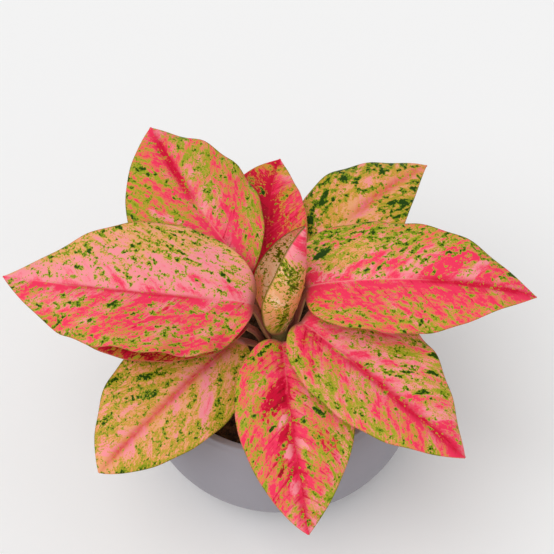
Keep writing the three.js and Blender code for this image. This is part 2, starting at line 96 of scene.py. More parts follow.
LEAVES = (
    Leaf(
        "leaf_left", (-18, -17, 176), 184, (186.6, 162.4), (12, -10), (-14, -10), 12,
        Half(49, 0.62, 0.94, (18, 24), (9, 1.6, 0.42), (2.6, 6.3, 0.345)),
        Half(58, 0.52, 0.98, (18, 24), (6, 1.25, 0.63), (1, 5, 0.5)), (134, 212),
        Look(1.3, (0.1, 0.5, 0, 0.4), (-0.25, 0, -0.2, 0.1), (0.3, 0.3, 0.75, 1.9),
            (0.25, 0, -0.3, -0.3), (0.8, 1.4, 0.2, 0.75), 0.4, (
            (9, -73, 3, 1.8, 0.2, 1), (24, -46, 3, 2.4, 0.2, 1), (33, -16, 7, 2.2, 0.2, 0.8),
            (9, -20, 7, 2.4, 0.2, 0.9), (100, -35, 8, 2.4, 0.3, 0.8), (90, 14, 4, 2.2, 0.1, 1.1),
            (111, 37, 6, 2.6, 0.2, 1.1), (68, 27, 8, 2, 0.2, 0.8),
            # The last patch, a thin deeper-crimson streak along a vein on the left half, is painted
            # shade in a crease.
            (55, 26, 20, 2, -0.2, -0.3, -0.4, 0.5)))),
    Leaf(
        "leaf_right", (18, -2, 176), 169, (-5.4, -3.4), (18, -20), (14, 8), 12,
        Half(49, 0.36, 0.86, (20, 24), (5, 1.4, 0.66), (1.2, 5, 0.3)),
        Half(43.5, 0.47, 0.92, (20, 24), (8, 1.3, 0.2), (1, 5.5, 0.1)), (130, 12),
        Look(2.7, (0.1, 0.75, 0.15, 0.55), (-0.15, 0.3, -0.45, -0.2), (0.5, 0.6, 0.1, 0.1),
            (-0.1, -0.2, 0.3, 0), (1, 3, 0.5, 1), 0.35, (
            (-3, 30, 9, 3.4, 0.4, 1.4), (50, 13, 6, 1.7, 0.1, 1.2), (53, 30, 3.4, 1.8, 0.1, 1.1),
            (76, 19, 3.4, 2, 0.2, 1), (90, 6, 4.5, 1.7, 0.1, 1.1), (51, 40, 9, 3, 0.6, 0.5),
            (15, 26, 20, 14, 0.3, -0.1, 1.3, -0.2), (92, 19, 18, 14, -0.5, -0.3, -0.6, 0.3),
            (116, 14, 12, 5, -0.4, -0.3, 0.6, -0.5)))),
    Leaf(
        "leaf_back_left", (-22, 14, 172), 148, (134, 113), (22, 2), (0, 0), 10,
        Half(56, 0.6, 1, (20, 24), (2, 1.4, 0.3), (1.2, 5, 0.2)),
        Half(47, 0.78, 0.92, (20, 24), (3, 1.7, 0.75), (2, 4.6, 0.35)), (124, 136),
        Look(4.1, (0.4, 0.85, 0.3, 0.7), (-0.4, 0.1, -0.5, -0.15), (0.1, 0.3, 0.3, 0.3),
            (0.15, 0.15, 0.1, 0), (1.2, 3.6, 0.5, 0.92), 0.2, (
            (51, -9, 4, 1.4, 0.2, 1.2), (14, -18, 5, 1.4, 0.2, 1),
            (32, -13, 18, 12, -0.4, -0.3, -0.2, 0.2), (43, 37, 14, 5, -0.3, -0.1, 0.8, -0.2),
            (98, -18, 7, 5, 0.35, 0.1), (76, -34, 9, 5, 0.35, 0.1)))),
    Leaf(
        "leaf_front_right", (14, -24, 166), 153, (-47, -37), (2, -23), (0, 0), 10,
        Half(55, 0.5, 0.94, (20, 26), (3, 1.5, 0.65), (1.8, 5, 0.4)),
        Half(40.5, 0.55, 0.88, (20, 26), (2, 1.5, 0.3), (1, 5, 0.2)), (119, -36),
        Look(5.9, (0.15, 0.6, 0.3, 0.65), (-0.3, -0.05, -0.4, -0.3), (0.5, 0.7, 0.3, 0.5),
            (-0.1, -0.2, 0.3, 0), (0.9, 4, 0.3, 1), 0.25, (
            (44, 65, 8, 4.5, 0.4, 1.3), (68, 44, 7, 3.4, 0.2, 1.3), (69, 24, 4.5, 1.8, 0.1, 1),
            (91, 18, 6, 2, 0.3, 0.9), (43, 41, 12, 6, 0.5, 0.3, 0.3),
            (86, 32, 8, 6, 0.4, 0.1, 0.4), (123, 13, 12, 5, -0.4, -0.2, -0.5),
            (14, -20, 20, 10, -0.1, -0.2, -0.2, 0.4)), 1, 0.1)),
    Leaf(
        "leaf_front", (2, -35, 158), 145, (-87, -78), (4, -42), (0, 0), 10,
        Half(45, 0.6, 0.9, (20, 26), (2, 1.4, 0.6), (1.6, 4.5, 0.2)),
        Half(38, 0.55, 0.82, (20, 26), (2, 1.4, 0.75), (1.2, 5, 0.6)), (115, -86),
        Look(7.2, (0.4, 0.75, 0.2, 0.6), (-0.35, -0.1, -0.4, -0.2), (0.3, 0.9, 0.2, 0.3),
            (0.5, 0.15, 0.6, 0.3), (0.7, 3, 0.3, 0.95), 0.1, (
            (2, -19, 9, 3, 0.4, 1.4), (49, 25, 6, 2.6, 0.4, 1.2), (62, -18, 6, 1.5, 0.1, 1.1),
            (79, -9, 3, 2, 0.1, 1.1), (46, -11, 12, 10, -0.4, -0.3, -0.4, 0.9),
            (63, -6, 5, 3, -0.4, -0.3, 0.6, -1), (86, -5, 4.5, 4, -0.5, -0.4, 0.6, -1.2),
            (82, 5, 4.5, 3, -0.5, -0.4, 0.6, -1.2), (73, -7, 6, 4, -0.4, -0.3, -0.2, 0.9),
            (92, -15, 4, 3, -0.4, -0.3, -0.2, 1.2), (110, -5, 5, 5, -0.5, -0.4, 0.7, -0.8),
            (68, 30, 12, 9, -0.2, 0, 0.2, 0.5), (96, 9, 3.4, 1.8, 0.3, 1),
            (113, 11, 3.4, 2, 0.3, 1)))),
    # The back leaf is paler towards its margins and, in its last patch, paler and less crimson near
    # its tip: painted sheen, rosy grey over its crimson.
    Leaf(
        "leaf_back", (-9, 13, 159), 119, (95, 76), (14, 0), (0, 0), 16,
        Half(42, 0.95, 1, (18, 22), (2, 1.4, 0.4)),
        Half(31, 0.6, 0.95, (18, 22), (2, 1.4, 0.6)), (113, 88),
        Look(8.8, (0.15, 0.3, 0.25, 0.5), (-0.6, -0.5, -0.5, -0.4), (-0.1, 0.2, 0.1, 0.4),
            (1.5, 0.9, 1.1, 0.5), (0.3, 10, 0, 0.8), 0.2, (
            (78, 7, 3.4, 2.8, 0.6, 1.6), (95, 0, 20, 20, 0.2, 0, 0.2, -0.2)), 1, 0.7)),
    Leaf(
        "leaf_front_left", (-28, -22, 144), 143, (229, 221), (2, -28), (-14, -14), 10,
        Half(40, 0.62, 0.8, (20, 26), (2, 1.5, 0.6), (1.2, 5, 0.1)),
        Half(44, 0.85, 0.82, (20, 26), (3, 1.5, 0.6), (2, 5, 0.3)), (108, 234),
        Look(10.4, (0.4, 0.85, 0.45, 0.8), (-0.3, -0.05, -0.3, 0.05), (1.5, 2, 1.6, 1.8),
            (-0.2, -0.3, -0.1, -0.2), (0.7, 3.2, 0.05, 0.95), 0, (
            (54, -34, 7, 5, 0.1, 0.6), (51, -55, 8, 4, 0.1, 0.5), (72, -16, 6, 4, 0.1, 0.6),
            (77, -28, 7, 5, 0, 0.4), (95, -29, 8, 5, 0, 0.5), (28, 19, 5, 4, 0.1, 0.5),
            (41, 29, 20, 6, -0.5, -0.4, -0.5)), 0.75, 0.3)),
    Leaf(
        "leaf_back_right", (12, 10, 152), 167, (62, 38), (12, -8), (0, 0), 10,
        Half(43, 1.15, 0.95, (18, 22), (2, 1.5, 0.55), (1.2, 5, 0.4)),
        Half(42, 0.6, 1.05, (18, 22), (2, 1.5, 0.75)), (107, 50),
        Look(12.6, (0.5, 0.9, 0.45, 0.8), (0, 0.5, -0.05, 0.45), (1.7, 1.9, 1.6, 1.9),
            (-0.6, -0.6, -0.6, -0.6), (0.6, 5, 0.5, 1), 0.3, (
            (56, 36, 11, 5, 0.2, 0.6), (79, 44, 12, 5, 0.3, 0.7), (41, 35, 10, 5, 0.2, 0.7),
            (104, -24, 10, 5, 0.3, 0.8), (88, -22, 8, 4, 0.3, 0.6), (119, 20, 3.5, 2.4, 0.2, 1),
            (83, 10, 16, 8, -0.2, -0.5)), 1.6, 0.45)),
    # This leaf lies under the left leaf: its crimson is deepened to the darkest crimson, partly as
    # painted shade.
    Leaf(
        "leaf_left_lower", (-22, -22, 160), 140, (186, 172), (6, -14), (-8, -8), 8,
        Half(32, 0.75, 1, (18, 22), (2, 1.5, 0.4)),
        Half(36, 0.6, 0.95, (18, 22), (2, 1.5, 0.6)), (106, 186),
        Look(14.1, (0.2, 0.4, 0.2, 0.4), (-0.6, -0.5, -0.6, -0.5), (-0.2, 0.1, -0.2, 0.1),
            (1.9, 1.6, 1.9, 1.6), (0.3, 10, 0, 1), 0.2)),
)

# The rolled leaf's left half takes the palest tint, lighter than its own peach, partly as painted
# light where the inside of the roll lies in shade. Its second patch, low on the right half, is a
# painted highlight. Its last, low on the left half, turns deeper and redder, partly as painted
# shade deep inside the roll over its own veins.
YOUNG_LEAF = Leaf(
    "leaf_young", (4, -10, 150), 87, (54, 50), (52, 107), (-24, -20), 0,
    Half(38.5, 0.42, 0.92, (-150, -70), (0, 1, 0), (0, 1, 0)),
    Half(50, 0.3, 0.56, (-148, -140), (0, 1, 0), (0, 1, 0)), None,
    Look(15.5, (-0.1, 0, 0.25, 0.15), (-0.1, 0, 0.25, 0.2), (2.9, 3.2, 2.4, 2.4),
        (-0.8, -0.8, -0.8, -0.8), (0, 6, 0, 1), 0, (
        (70, -20, 30, 24, -0.6, -0.9, -1.6), (-4, -60, 15, 11, -0.5, -0.2, 0.35),
        (28, -30, 16, 9, 0.3, 0.15), (6, -24, 16, 12, 0.1, -0.1), (-16, -38, 18, 14, 0.5, 0.2),
        (34, 28, 10, 10, 0.1, 0.4), (-10, 41, 10, 12, -0.4, -0.5, -1.6, 0.5)), 0.7, 0.3),
    (-0.06, 0.04))

# What every leaf shares, as in the solids. Angles are in degrees, and lengths along a blade or a
# stalk are shares of it.
STALK_RADIUS = 2.7 * MM
SHEATH_HALF_WIDTH = 4.2 * MM
SHEATH_HALF_THICKNESS = 1.9 * MM
SHEATH_FADE = 1.5
TIP_HALF_WIDTH = 0.7 * MM
FOOT_LENGTH = 0.012
BEND_POWER = 1.2
STEEPEST = 88
KNEE_LIFT = 42
KNEE_LENGTH = 0.035
WAVE_FADE = 1.5
WAVE_POWER = 2
RIPPLE_POWER = 4
MIDRIB_STEPS = 240
END_CROWDING = 0.45
STALK_HANDLE = 0.4
BLADE_HANDLE = 0.25
STALK_SPREAD = 0.35
CLEARANCE = 0.3 * MM

# Fine relief. Lateral veins leave the midrib at this slope (along per across) and sweep towards the
# tip by this much more for each metre out from it.
VEIN_SLOPE = 0.6
VEIN_SWEEP = 11.0
SWELL_POWER = 0.7
GROOVE_HALF_WIDTH = 3.2 * MM
KEEL_HALF_WIDTHS = (2.2 * MM, 1.0 * MM)
KEEL_AT_TIP = 0.4 * MM
KEEL_FADE = 0.4
MARGIN_THICKNESS = 0.35
MARGIN_BULGE = 0.4
STALK_SWEEP = 84
STALK_GROOVE = 0.9 * MM
STALK_GROOVE_SHARE = 0.45
YOUNG_STALK_TOP = 0.85
STALK_TINT = 0.3
STALK_TINT_END = 0.05

# Cane, soil and pot. Clods are height in mm, spacing in mm and seed; crumbs lie from so many times
# the hole's area to such a share of the soil's.
CANE_TOP = Vector((-1, -8, 146)) * MM
CANE_RADII = (7.5 * MM, 6.5 * MM)
CANE_NODES = 9
NODE_RELIEF = 0.3 * MM
NODE_HALF_WIDTH = 0.9 * MM
SOIL_BELOW_RIM = 14 * MM
CROWN_RADIUS = 30 * MM
HOLE_BOTTOM = 42 * MM
FLOOR_CORNER = 12 * MM
ALMOST_AXIS = 0.001 * MM
CLODS = ((1.2, 19, 3), (0.8, 7, 4), (0.5, 3, 5))
SOIL_BOTTOM = (0.5, 0.9)
LATTICE = 64
CRUMB_SEED = 12
CRUMB_SIZE = 1.5 * MM
CRUMB_VARIATION = 0.4
CRUMB_STRETCH = (0.6, 1.4)
CRUMB_ROUGHNESS = (0.8, 1.2)
CRUMB_LIFT = 0.3
CRUMB_AREA = (1.4, 0.95)

# Fine grids: places along a blade, along a stalk, and across each half of a section, then those
# along and round the others.
BLADE_PLACES = 150
STALK_PLACES = 26
YOUNG_STALK_PLACES = 8
HALF_PLACES = 28
CROWD_TO_MIDRIB = 1.6
CANE_GRID = (160, 48)
POT_GRID = {"low": 40, "high": 24, "rim": 8, "inside": 30, "corner": 10, "around": 192}
SOIL_GRID = (90, 300)

# The photograph's half-width and focal length in pixels, and where its soft key light comes from.
PHOTO_HALF_WIDTH = 277
PHOTO_FOCAL_LENGTH = 1220
WINDOW = Vector((-0.6, -0.5, 1.3))


def blend(start, end, amount):
    """Straight-line mix of two values."""
    return start + (end - start) * amount


def ease(x, low, high):
    """Smooth step: 0 below low, 1 above high, 3t^2 - 2t^3 between."""
    t = np.clip((x - low) / (high - low), 0, 1)
    return t * t * (3 - 2 * t)


def bell(x, width):
    """Gaussian: exp(-(x / width)^2)."""
    return np.exp(-(x / width) ** 2)


def outline(half, s):
    """Half-width in metres at share s: s^shoulder (1-s)^taper, scaled to peak at the width."""
    peak = half.shoulder / (half.shoulder + half.taper)
    return half.width * MM * (s / peak) ** half.shoulder * ((1 - s) / (1 - peak)) ** half.taper


def heading_of(leaf, s):
    """Unit vectors along the midrib and level across it: heading changes evenly, pitch bends with
    s^BEND_POWER, and the knee adds a rise that dies away exponentially."""
    heading = np.radians(blend(*leaf.heading, s))
    rise = blend(*leaf.pitch, s ** BEND_POWER) + KNEE_LIFT * np.exp(-s / KNEE_LENGTH)
    pitch = np.radians(np.minimum(rise, STEEPEST))
    along = np.stack(
        [np.cos(pitch) * np.cos(heading), np.cos(pitch) * np.sin(heading), np.sin(pitch)], -1)
    across = np.stack([-np.sin(heading), np.cos(heading), np.zeros_like(heading)], -1)
    return along, across


Rib = namedtuple("Rib", "place along left up")


def midrib(leaf, s):
    """Frames along the midrib: the place is the running sum of the direction, and the left and up
    vectors are turned about it by the roll."""
    ends = np.linspace(0, 1, MIDRIB_STEPS + 1)
    along, _ = heading_of(leaf, (ends[:-1] + ends[1:]) / 2)
    places = np.vstack([np.zeros(3), np.cumsum(along, 0) / MIDRIB_STEPS]) * leaf.length
    places = (places + leaf.base) * MM
    place = np.stack([np.interp(s, ends, places[:, axis]) for axis in range(3)], -1)
    along, across = heading_of(leaf, s)
    up = np.cross(along, across)
    roll = np.radians(blend(*leaf.roll, s))[:, None]
    left = across * np.cos(roll) + up * np.sin(roll)
    return Rib(place, along, left, np.cross(along, left))


Section = namedtuple("Section", "out rise inward width")


def half_section(leaf, half, s, v):
    """A half blade's section at shares s along and v out: an arc that leaves the midrib at the fold
    angle and turns by the arch angle, with a cosine wave growing as v^2 and a ripple as v^4."""
    least = blend(TIP_HALF_WIDTH, STALK_RADIUS, np.exp(-s / FOOT_LENGTH))
    width = np.hypot(outline(half, s), least)
    fold = np.radians(leaf.fold)
    arch = np.radians(blend(*half.arch, s)) * ease(s, *leaf.arch_from)
    fading = np.minimum(1, WAVE_FADE * width / (half.width * MM))
    waves = ((WAVE_POWER, *half.wave), (RIPPLE_POWER, *half.ripple))
    wave = sum(
        height * MM * fading * v ** power * np.cos(2 * np.pi * count * (s - crest))
        for power, height, count, crest in waves)
    out = width * (np.sin(fold) - np.sin(fold - arch * v)) / arch
    rise = width * (np.cos(fold - arch * v) - np.cos(fold)) / arch + wave
    return Section(out, rise, fold - arch * v, width * np.ones_like(v))


def set_out(place, left, up, out, rise):
    """Points of each ring, so far out and so high in its frame."""
    return place[:, None] + left[:, None] * out[..., None] + up[:, None] * rise[..., None]


def across_places():
    """Shares across a blade from right margin (-1) to left (+1), crowded towards the midrib."""
    t = np.linspace(-1, 1, 2 * HALF_PLACES + 1)
    return np.sign(t) * np.abs(t) ** CROWD_TO_MIDRIB


def round_the_section(upper, lower, margins):
    """Joins an upper row (right to left), left margin, lower row and right margin into rings."""
    right, left = margins
    return np.concatenate([upper, left, lower[:, ::-1], right], 1)


def blade(leaf, plant):
    """Rings of a blade and what its finish reads at each point.

    Upper surface: the midrib's place plus the section, raised between lateral veins by
    |sin(pi start / spacing)|^0.7 and sunk in a groove along the midrib that holds a fine ridge.
    Lower surface: the upper one moved inwards by the thickness and by a keel, a Gaussian of the
    distance from the midrib."""
    t = np.linspace(0, 1, BLADE_PLACES + 1)
    s = blend(t, 0.5 - 0.5 * np.cos(np.pi * t), END_CROWDING)
    rib = midrib(leaf, s)
    v = across_places()
    at, share = s[:, None], np.abs(v)[None, :]
    sides = [half_section(leaf, half, at, share) for half in (leaf.right, leaf.left)]
    on_right = (v < 0)[None, :]
    section = Section(*(np.where(on_right, r, l) for r, l in zip(*sides)))
    side = np.sign(v)[None, :]
    across = section.width * share
    along = at * leaf.length * MM * np.ones_like(share)
    start = along - across * (VEIN_SLOPE + VEIN_SWEEP * across)
    reach = across * np.hypot(1, VEIN_SLOPE + VEIN_SWEEP * across)

    fade = ease(share, 0.02, 0.3) * ease(1 - share, 0.0, 0.25) * ease(at, 0.02, 0.15)
    fade = fade * ease(1 - at, 0.02, 0.25)
    swell = np.abs(np.sin(np.pi * start / plant.vein_spacing)) ** SWELL_POWER
    groove = plant.groove_depth * bell(across, GROOVE_HALF_WIDTH) * ease(1 - at, 0.0, 0.4)
    ridge = plant.ridge_height * bell(across, plant.ridge_width) * ease(at, 0.0, 0.1)
    relief = swell * plant.vein_relief * fade - groove + ridge

    normal_out = -np.sin(section.inward) * side
    normal_up = np.cos(section.inward)
    thin = plant.blade_thickness * blend(1, MARGIN_THICKNESS, ease(share, 0.6, 1.0))
    keel = blend(2 * STALK_RADIUS - plant.blade_thickness, KEEL_AT_TIP, at ** KEEL_FADE)
    keel = keel * bell(across, blend(*KEEL_HALF_WIDTHS, at))

    def points(depth):
        return set_out(
            rib.place, rib.left, rib.up,
            section.out * side - normal_out * depth, section.rise - normal_up * depth)

    upper, lower = points(-relief), points(thin + keel - relief)
    rings = round_the_section(upper, lower, margin_points(upper, lower, thin))
    size = np.ones_like(along)
    facts = {
        "blade_place": (along, across * side, size),
        "blade_share": (at * size, share * size, section.width * (1 - share)),
        "blade_vein": (start, reach, side * size),
    }
    return rings, {name: ring_facts(values) for name, values in facts.items()}


def margin_points(upper, lower, thin):
    """A point half-way round each rounded margin, just outside the last pair of points."""
    edges = []
    for edge, inner in ((0, 1), (-1, -2)):
        middle = (upper[:, edge] + lower[:, edge]) / 2
        outward = upper[:, edge] - upper[:, inner]
        outward /= np.maximum(np.linalg.norm(outward, axis=1), 1e-9)[:, None]
        edges.append((middle + outward * thin[:, edge, None] * MARGIN_BULGE)[:, None])
    return edges


def ring_facts(values):
    """Facts given over the upper row, repeated round the section."""
    upper = np.stack(values, -1)
    return round_the_section(upper, upper, (upper[:, :1], upper[:, -1:]))


def oval_rings(place, left, up, half_across, half_thick, groove):
    """Rings of a stalk: an oval whose top is at the place, dented along its top by the groove."""
    turn = np.radians(STALK_SWEEP) * np.linspace(-1, 1, 2 * HALF_PLACES + 1)[None, :]
    out = half_across[:, None] * np.sin(turn)
    dome = half_thick[:, None] * np.cos(turn)
    dent = groove[:, None] * bell(out, STALK_GROOVE_SHARE * half_across[:, None])

    centre = -half_thick[:, None]
    upper = set_out(place, left, up, out, centre + dome - dent)
    lower = set_out(place, left, up, out, centre - dome)
    margins = [set_out(place, left, up, half_across[:, None] * sign, centre) for sign in (-1, 1)]
    return round_the_section(upper, lower, margins)


def cane_axis(height):
    """Centre of the cane at a height: it leans, by a smooth step, from the soil to its top."""
    lean = ease(height, soil_level(), CANE_TOP.z)
    return np.stack([CANE_TOP.x * lean, CANE_TOP.y * lean, height * np.ones_like(lean)], -1)


def cane_radius(height):
    """Radius of the cane: it tapers evenly from the soil to its top."""
    share = np.clip((height - soil_level()) / (CANE_TOP.z - soil_level()), 0, 1)
    return blend(*CANE_RADII, share)


def soil_level():
    """Height of the soil at the pot's wall."""
    return POT_HIGH.z - SOIL_BELOW_RIM


def bezier(points, t):
    """Cubic Bezier curve through its four control points, and its unit tangent."""
    a, b, c, d = (np.asarray(p)[None] for p in points)
    t = t[:, None]
    place = a * (1 - t) ** 3 + 3 * b * t * (1 - t) ** 2 + 3 * c * t * t * (1 - t) + d * t ** 3
    tangent = (b - a) * (1 - t) ** 2 + 2 * (c - b) * t * (1 - t) + (d - c) * t * t
    return place, unit(tangent)


def unit(vectors):
    """Vectors scaled to length 1."""
    return vectors / np.linalg.norm(vectors, axis=-1, keepdims=True)


def stalk(leaf, end):
    """Rings of a stalk from its seat on the cane to the blade, along a cubic curve: a broad thin
    sheath where it clasps the cane, and a round grooved stalk above."""
    height, direction = leaf.stalk
    outward = np.array([np.cos(np.radians(direction)), np.sin(np.radians(direction)), 0])
    height = np.array([height * MM])
    gap = NODE_RELIEF + CLEARANCE
    seat = (cane_axis(height) + outward * (cane_radius(height)[:, None] + gap))[0]
    place, along, left_end, _ = (vectors[0] for vectors in end)
    run = np.linalg.norm(place - seat)
    rising = outward * STALK_SPREAD + (0, 0, 1)
    curve = (seat, seat + rising * run * STALK_HANDLE, place - along * run * BLADE_HANDLE, place)
    t = np.arange(STALK_PLACES) / STALK_PLACES
    at, tangent = bezier(curve, t)
    share = t[:, None]
    towards = outward * (1 - share) + along * share
    level = unit(np.stack([-towards[:, 1], towards[:, 0], 0 * t], -1))
    left = level * (1 - share ** 2) + left_end * share ** 2
    left = unit(left - tangent * (left * tangent).sum(-1, keepdims=True))
    sheath = (1 - t) ** SHEATH_FADE
    return oval_rings(
        at, left, np.cross(tangent, left),
        blend(STALK_RADIUS, SHEATH_HALF_WIDTH, sheath),
        blend(STALK_RADIUS, SHEATH_HALF_THICKNESS, sheath), STALK_GROOVE * ease(t, 0, 0.3))


def young_stalk(end):
    """Rings of the rolled leaf's short stalk, straight up from the top of the cane."""
    place, _, left, up = (vectors[0] for vectors in end)
    t = np.linspace(0, YOUNG_STALK_TOP, YOUNG_STALK_PLACES)
    level_up = np.cross((0, 0, 1), left)
    foot = np.array(CANE_TOP) + (0, 0, CLEARANCE) + level_up * STALK_RADIUS
    share = t[:, None]
    radius = STALK_RADIUS * np.ones_like(t)
    at = foot * (1 - share) + place * share
    ups = unit(level_up * (1 - share) + up * share)
    return oval_rings(at, left * np.ones((len(t), 1)), ups, radius, radius, 0 * t)


def leaf_rings(leaf, plant):
    """Rings of stalk and blade together, with the facts that the finish reads. The third value of
    `blade_place` becomes 1 above and 0 below, and `stalk` falls from 1 at the cane to 0 on the
    blade."""
    blade_part, facts = blade(leaf, plant)
    end = midrib(leaf, np.zeros(1))
    stalk_part = young_stalk(end) if leaf.stalk is None else stalk(leaf, end)
    count = len(stalk_part)
    whole = {
        name: np.concatenate([np.repeat(values[:1], count, 0), values])
        for name, values in facts.items()}
    fall = np.linspace(1, STALK_TINT, count, endpoint=False)
    share = facts["blade_share"][:, 0, 0]
    on_stalk = np.concatenate([fall, STALK_TINT * ease(STALK_TINT_END - share, 0, STALK_TINT_END)])
    whole["stalk"] = np.repeat(on_stalk[:, None], stalk_part.shape[1], 1)
    row = 2 * HALF_PLACES + 1
    side_up = np.zeros(stalk_part.shape[1])
    side_up[:row] = 1
    side_up[[row, -1]] = 0.5
    whole["blade_place"][..., 2] = side_up[None, :]
    return np.concatenate([stalk_part, blade_part]), whole


# ---- meshes


def ringed_mesh(name, rings, facts=None):
    """Closed body through rings of points: quads between neighbours, and a fan to the middle of the
    first and of the last ring. Facts are stored at each point, as numbers or vectors."""
    count, around = rings.shape[:2]
    grid = np.arange(count * around).reshape(count, around)
    following = np.roll(grid, -1, 1)
    quads = np.stack([grid[:-1], grid[1:], following[1:], following[:-1]], -1).reshape(-1, 4)
    first, last = count * around, count * around + 1
    ends = np.concatenate([
        np.stack([following[0], np.full(around, first), grid[0]], -1),
        np.stack([grid[-1], np.full(around, last), following[-1]], -1)])
    points = np.concatenate([rings.reshape(-1, 3), rings[:1].mean(1), rings[-1:].mean(1)])
    mesh = new_mesh(name, points, quads.tolist() + ends.tolist())
    for fact, values in (facts or {}).items():
        wide = values.ndim == 3
        flat = values.reshape(count * around, -1)
        flat = np.concatenate([flat, flat[:1], flat[-1:]]).astype(np.float32)
        kind = "FLOAT_VECTOR" if wide else "FLOAT"
        attribute = mesh.attributes.new(fact, kind, "POINT")
        attribute.data.foreach_set("vector" if wide else "value", flat.ravel())
    mesh.polygons.foreach_set("use_smooth", np.ones(len(mesh.polygons), bool))
    mesh.update()
    return mesh


def new_mesh(name, points, faces):
    """A mesh from points and faces."""
    mesh = bpy.data.meshes.new(name)
    mesh.from_pydata(points, [], faces)
    mesh.update()
    return mesh


def add_object(data):
    """Puts data in the scene as an object of the same name."""
    made = bpy.data.objects.new(data.name, data)
    bpy.context.scene.collection.objects.link(made)
    return made


def add_piece(mesh, slot, material, *nodes):
    """Puts a finished mesh in the scene as a piece that rides on the body and replaces nodes."""
    mesh.materials.append(material)
    piece = add_object(mesh)
    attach(piece, "root")
    if nodes:
        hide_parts(*nodes)
    return piece


def lathe_rings(radius, height, around):
    """Rings of a lathe about +Z: each (radius, height) pair turned through a full circle."""
    turn = -2 * np.pi * np.arange(around) / around
    return np.stack([
        radius[:, None] * np.cos(turn), radius[:, None] * np.sin(turn),
        height[:, None] * np.ones(around)], -1)


def lattice_noise(x, y, seed):
    """Value noise: random heights from -1 to 1 on a unit lattice, smoothly interpolated."""
    table = np.random.default_rng(seed).uniform(-1, 1, (LATTICE, LATTICE))
    column, row = np.floor(x).astype(int), np.floor(y).astype(int)
    across, up = ease(x - column, 0, 1), ease(y - row, 0, 1)
    near, far = (
        blend(*(table[(column + step) % LATTICE, line % LATTICE] for step in (0, 1)), across)
        for line in (row, row + 1))
    return blend(near, far, up)


# ---- finishes


class Value:
    """A shader socket. Python's arithmetic on it adds Math nodes."""

    def __init__(self, finish, socket):
        self.finish = finish
        self.socket = socket

    def math(self, operation, *others):
        values = dict(enumerate((self, *others)))
        return self.finish.node("ShaderNodeMath", {"operation": operation}, values)

    def __add__(self, other):
        return self.math("ADD", other)

    def __sub__(self, other):
        return self.math("SUBTRACT", other)

    def __mul__(self, other):
        return self.math("MULTIPLY", other)

    def __rsub__(self, other):
        return self * -1 + other

    __radd__ = __add__
    __rmul__ = __mul__

    def step(self, low, high):
        """Smooth step from 0 at low to 1 at high; falls if low is above high."""
        if low > high:
            return 1 - self.step(high, low)
        return self.finish.node(
            "ShaderNodeMapRange", {"interpolation_type": "SMOOTHSTEP"},
            {"Value": self, "From Min": low, "From Max": high})

    def bell(self, width):
        """exp(-(x / width)^2)."""
        scaled = self * (1 / width)
        return (scaled * scaled * -1).math("EXPONENT")


class Finish:
    """A material in the making."""

    def __init__(self, name):
        self.material = bpy.data.materials.new(name)
        self.material.use_nodes = True
        self.tree = self.material.node_tree
        self.surface = self.tree.nodes["Principled BSDF"]

    def node(self, kind, settings=None, values=None, output=0):
        """Adds a node: its settings first, then its sockets' values or links. Gives one output."""
        made = self.tree.nodes.new(kind)
        for key, value in (settings or {}).items():
            setattr(made, key, value)
        for key, value in (values or {}).items():
            self.feed(made.inputs[key], value)
        return Value(self, made.outputs[output])

    def feed(self, socket, value):
        if isinstance(value, Value):
            self.tree.links.new(value.socket, socket)
        else:
            socket.default_value = value

    def set(self, **values):
        """Sets or links sockets of the surface shader, named with underscores for spaces."""
        for key, value in values.items():
            self.feed(self.surface.inputs[key.replace("_", " ")], value)

    def attribute(self, name, output=1):
        return self.node(
            "ShaderNodeAttribute", {"attribute_name": name, "attribute_type": "GEOMETRY"},
            output=output)

    def parts(self, vector):
        return [self.node("ShaderNodeSeparateXYZ", {}, {0: vector}, axis) for axis in range(3)]

    def vector(self, x, y, z):
        return self.node("ShaderNodeCombineXYZ", {}, {0: x, 1: y, 2: z})

    def place(self):
        return self.node("ShaderNodeTexCoord", output=3)

    def grain(self, scale, detail=2.0, roughness=0.5):
        """Noise over the object's own coordinates."""
        return self.noise(self.place(), scale, detail, roughness)

    def noise(self, vector, scale, detail=2.0, roughness=0.5, distortion=0.0):
        return self.node("ShaderNodeTexNoise", {"noise_dimensions": "3D"}, {
            "Vector": vector, "Scale": scale, "Detail": detail, "Roughness": roughness,
            "Distortion": distortion})

    def cells(self, vector, size):
        """A random number from 0 to 1 for each Voronoi cell of about this size."""
        values = {"Vector": vector, "Scale": 1 / size}
        random = self.node("ShaderNodeTexVoronoi", {"feature": "F1"}, values, 1)
        return self.node("ShaderNodeSeparateColor", {}, {0: random})

    def mix(self, amount, first, second):
        """Colour mix of sockets or tints: first where the amount is 0, second where it is 1."""
        colours = [side if isinstance(side, Value) else (*side, 1) for side in (first, second)]
        return self.node(
            "ShaderNodeMix", {"data_type": "RGBA", "clamp_factor": True},
            {0: amount, 6: colours[0], 7: colours[1]}, 2)

    def bump(self, height, strength, distance):
        values = {"Height": height, "Strength": strength, "Distance": distance}
        return self.node("ShaderNodeBump", {}, values)


# What each noise adds to each field of a leaf's look.
NOISE_WEIGHTS = {
    "haze": {"broad": 0.8, "cloud": 1.5, "blobs": 2.7, "fine": 1.3},
    "speck": {"cloud": 2.8, "broad": 1.0, "spots": 4.5, "cell": 0.9, "fine": 1.2},
    "pale": {"broad": 2.4, "cloud": 2.0, "streak": 1.0, "fine": 0.8},
    "deep": {"streak": 1.4, "cloud": 1.8, "fine": 0.8},
}

